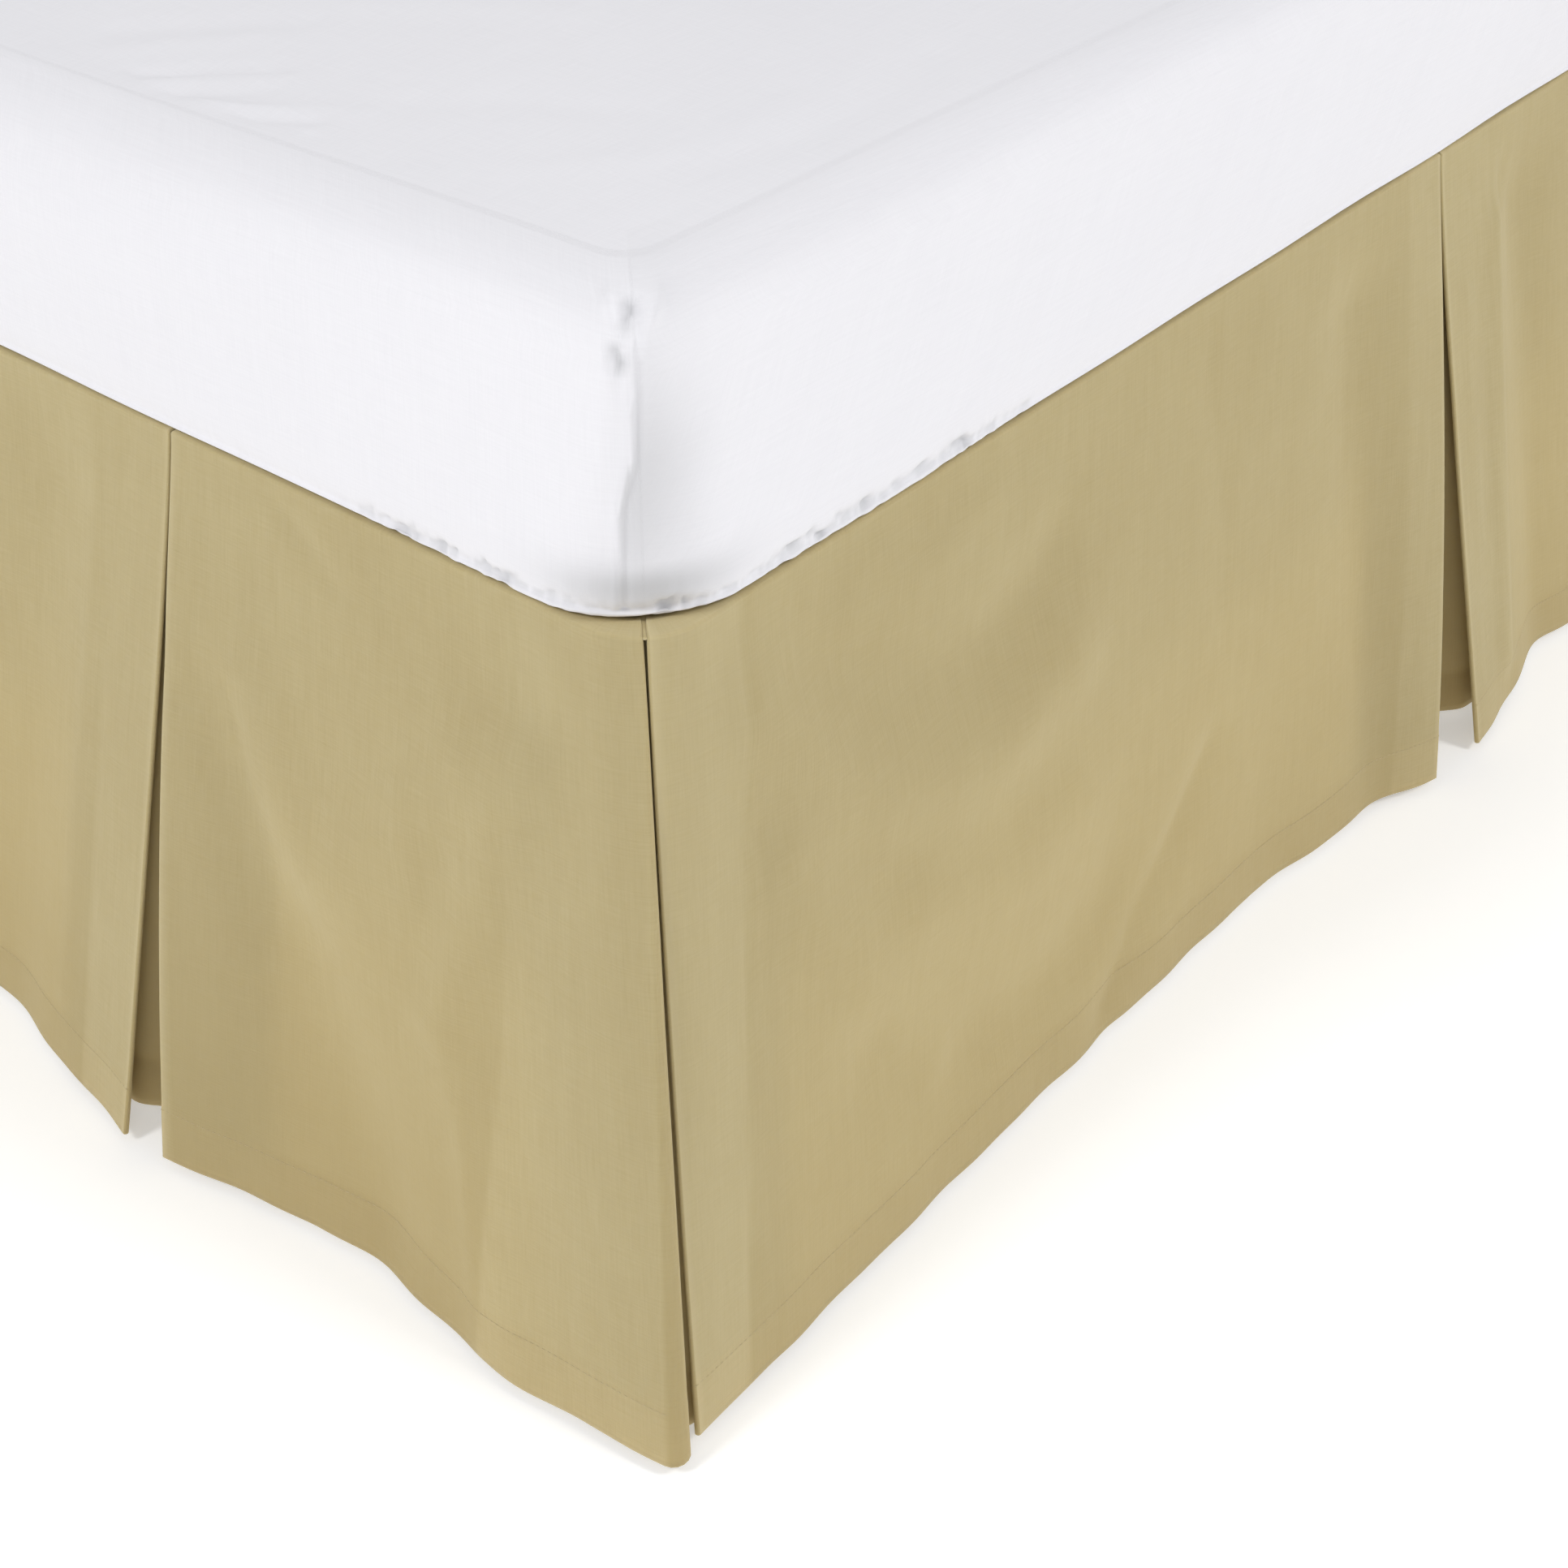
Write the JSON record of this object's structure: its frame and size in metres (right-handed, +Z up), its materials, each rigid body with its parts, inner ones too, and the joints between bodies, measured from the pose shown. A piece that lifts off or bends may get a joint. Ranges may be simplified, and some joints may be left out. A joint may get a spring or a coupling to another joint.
{
  "type": "bed skirt on a box spring with a mattress",
  "caption": "Flared bed skirt with inverted pleats and split corners, hung from a box spring under a mattress in a fitted sheet; the head end is open.",
  "frame": {"origin": "on the floor, under the middle of everything that is built", "axes": "+Z up, +Y along the bed towards its open head end, +X towards the side with the pleat nearest the foot corner in the picture's right half"},
  "size_m": [1.2088, 2.0304, 0.53],
  "materials": {
    "skirt_cloth": "matt khaki cotton blend, smooth plain weave",
    "sheet_cloth": "matt white jersey",
    "mattress_cover": "pale woven ticking",
    "box_spring_cover": "pale woven cover",
    "leg_wood": "dark stain, satin"
  },
  "bodies": {
    "root": {"foot_panel_right": "skirt_cloth", "foot_panel_middle": "skirt_cloth", "foot_panel_left": "skirt_cloth", "right_panel_foot": "skirt_cloth", "right_panel_middle": "skirt_cloth", "right_panel_head": "skirt_cloth", "left_panel_foot": "skirt_cloth", "left_panel_middle": "skirt_cloth", "left_panel_head": "skirt_cloth", "foot_pleat_right": "skirt_cloth", "foot_pleat_left": "skirt_cloth", "right_pleat_foot": "skirt_cloth", "right_pleat_head": "skirt_cloth", "left_pleat_foot": "skirt_cloth", "left_pleat_head": "skirt_cloth", "corner_pleat_right": "skirt_cloth", "corner_pleat_left": "skirt_cloth", "deck": "skirt_cloth", "fitted_sheet": "sheet_cloth", "mattress": "mattress_cover", "box_spring": "box_spring_cover", "leg_foot_right": "leg_wood", "leg_foot_left": "leg_wood", "leg_middle_right": "leg_wood", "leg_middle_left": "leg_wood", "leg_head_right": "leg_wood", "leg_head_left": "leg_wood"}
  },
  "joints": []
}
